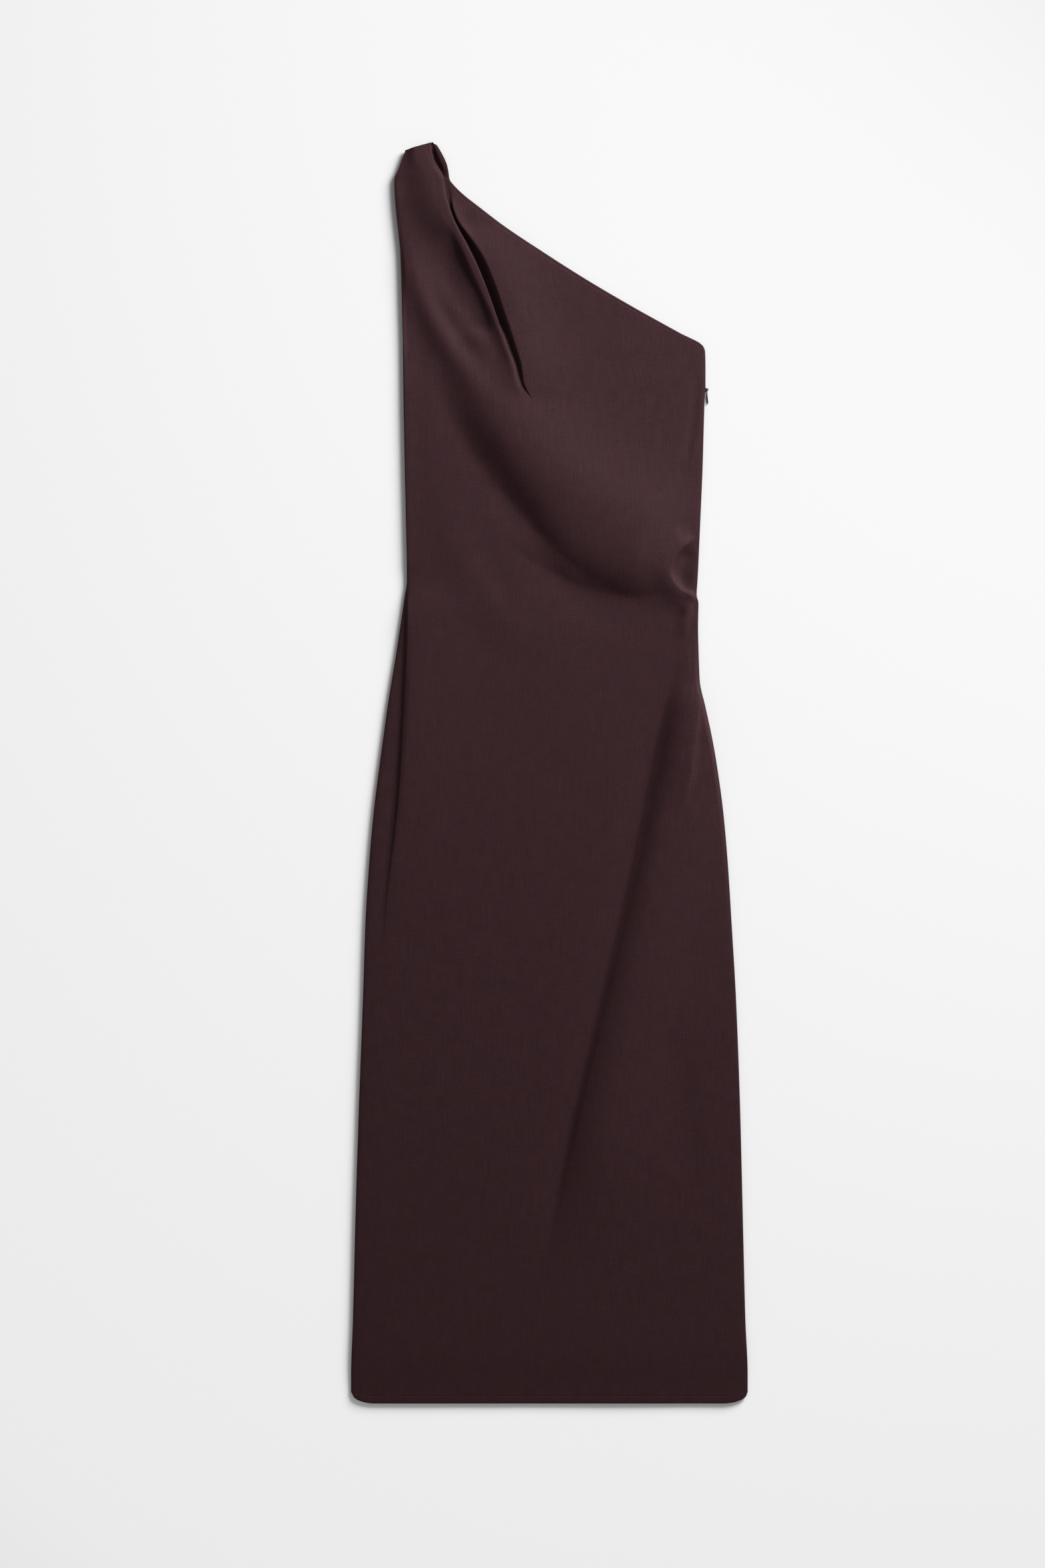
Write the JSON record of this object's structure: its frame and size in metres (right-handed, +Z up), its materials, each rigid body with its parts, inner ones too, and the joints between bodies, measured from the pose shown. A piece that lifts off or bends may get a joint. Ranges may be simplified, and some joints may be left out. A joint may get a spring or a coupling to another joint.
{
  "type": "asymmetric dress",
  "caption": "One-shoulder midi dress in plain dark cloth, laid flat, with a tuck at the shoulder, a draped waist and a side zip.",
  "frame": {"origin": "under the middle of the dress's length and width, on the surface that it lies on", "axes": "+Y along the length from the hem to the shoulder, +X towards the side with the zip, +Z up out of the front"},
  "size_m": [0.4149, 1.3223, 0.0165],
  "materials": {
    "front_cloth": "fine woven cloth, soft sheen",
    "back_cloth": "fine woven cloth, soft sheen",
    "zip_tape": "matt woven tape with fine coil teeth",
    "zip_metal": "satin dark enamel"
  },
  "bodies": {
    "dress": {"back_panel": "back_cloth", "front_panel": "front_cloth", "zip_tape": "zip_tape", "zip_slider": "zip_metal"},
    "pull_tab": {"zip_pull": "zip_metal"}
  },
  "joints": [
    {"name": "pull_swing", "type": "hinge", "parent": "dress", "child": "pull_tab", "pos_m": [0.1653, 0.402, 0.001], "axis": [0, 0, 1], "range_deg": [-6, 155]}
  ]
}
